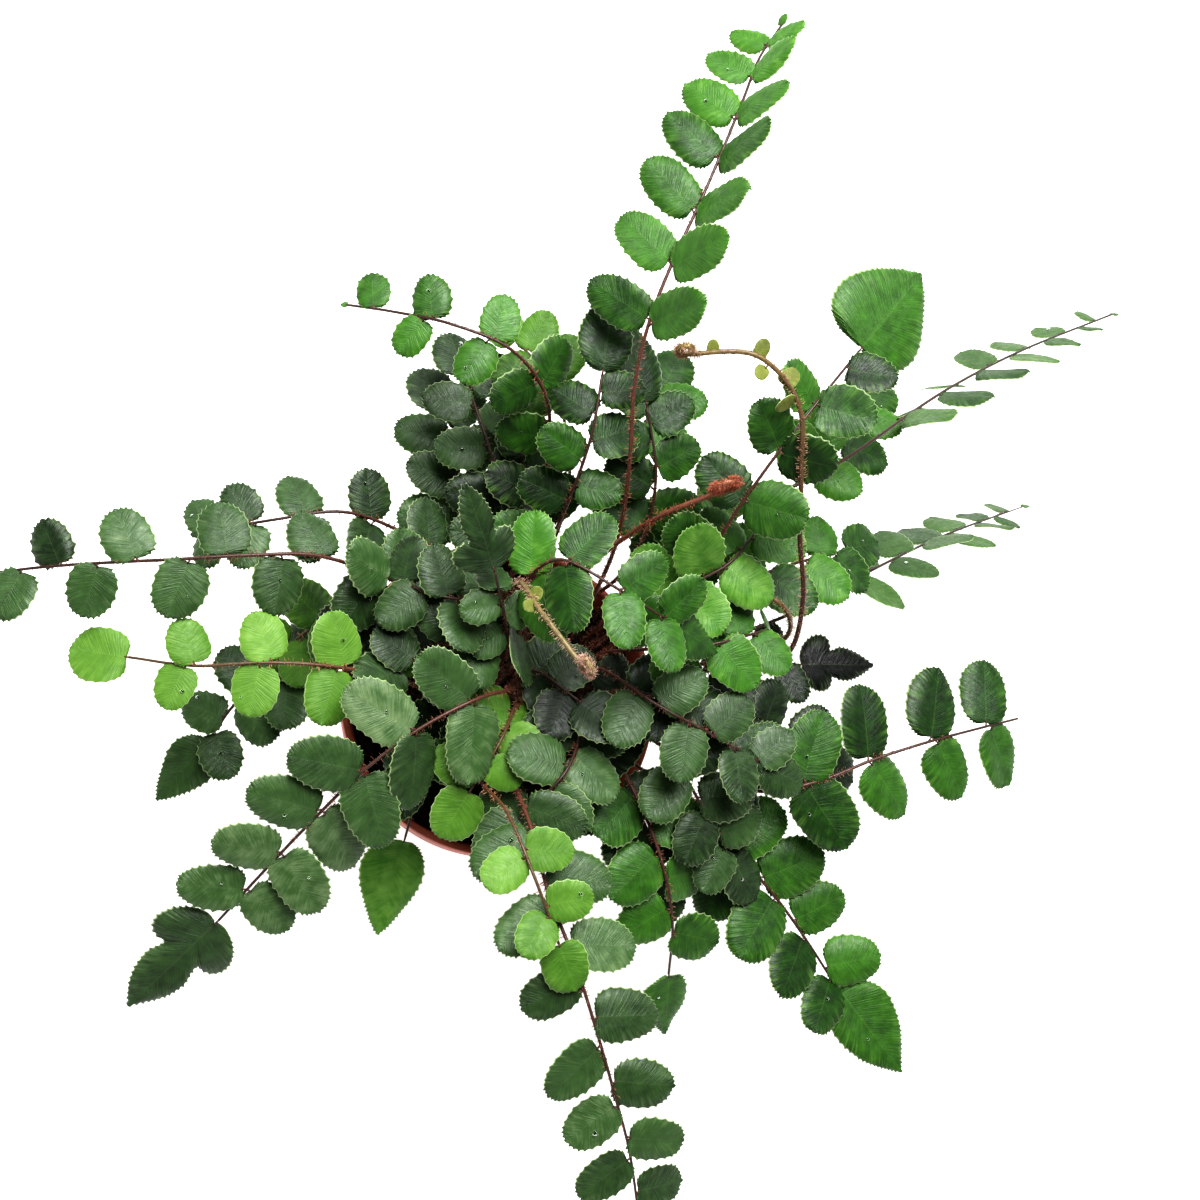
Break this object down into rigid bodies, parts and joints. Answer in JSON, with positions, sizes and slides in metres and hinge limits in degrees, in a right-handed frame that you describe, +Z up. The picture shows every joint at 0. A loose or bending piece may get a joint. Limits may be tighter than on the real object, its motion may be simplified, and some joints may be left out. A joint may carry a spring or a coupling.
{
  "type": "potted button fern",
  "caption": "Small button fern with arching fronds of round leaflets, growing in a round terracotta-coloured nursery pot.",
  "frame": {"origin": "centre of the pot's underside, where the pot stands", "axes": "+Z up; +X to the right and +Y to the top of the picture"},
  "size_m": [0.4334, 0.3767, 0.2081],
  "materials": {
    "pot_plastic": "satin",
    "peat": "matte",
    "leaf_old": "satin",
    "leaf_mid": "satin",
    "leaf_young": "satin",
    "leaf_pale": "satin",
    "leaf_crozier": "matte"
  },
  "bodies": {
    "root": {"frond_back_dark": "leaf_old", "frond_back_inner": "leaf_mid", "frond_back_left": "leaf_mid", "frond_back_low": "leaf_mid", "frond_back_mid": "leaf_mid", "frond_back_pale": "leaf_young", "frond_back_right": "leaf_mid", "frond_back_right_low": "leaf_mid", "frond_centre": "leaf_mid", "frond_centre_lobed": "leaf_old", "frond_crozier_middle": "leaf_crozier", "frond_crozier_orange": "leaf_crozier", "frond_curled_arch": "leaf_crozier", "frond_dark_low": "leaf_old", "frond_far_right": "leaf_pale", "frond_front": "leaf_mid", "frond_front_centre": "leaf_old", "frond_front_inner": "leaf_young", "frond_front_low": "leaf_old", "frond_front_mid": "leaf_mid", "frond_front_right": "leaf_mid", "frond_front_right_mid": "leaf_old", "frond_front_young": "leaf_young", "frond_inner_back": "leaf_mid", "frond_inner_far": "leaf_mid", "frond_inner_front": "leaf_mid", "frond_inner_left": "leaf_old", "frond_inner_middle": "leaf_old", "frond_inner_right": "leaf_old", "frond_left_back_low": "leaf_old", "frond_left_inner": "leaf_old", "frond_left_low": "leaf_old", "frond_left_mid": "leaf_young", "frond_left_round": "leaf_old", "frond_left_upper": "leaf_old", "frond_left_young": "leaf_young", "frond_long_left": "leaf_old", "frond_lower_left": "leaf_old", "frond_pale_arch": "leaf_crozier", "frond_right_back_mid": "leaf_mid", "frond_right_droop": "leaf_pale", "frond_right_front": "leaf_mid", "frond_right_hairy": "leaf_old", "frond_right_inner": "leaf_mid", "frond_right_low": "leaf_old", "frond_right_mid": "leaf_mid", "frond_rim_inner": "leaf_mid", "frond_rim_kite": "leaf_mid", "frond_tall_back": "leaf_mid", "pot": "pot_plastic", "soil": "peat"}
  },
  "joints": []
}
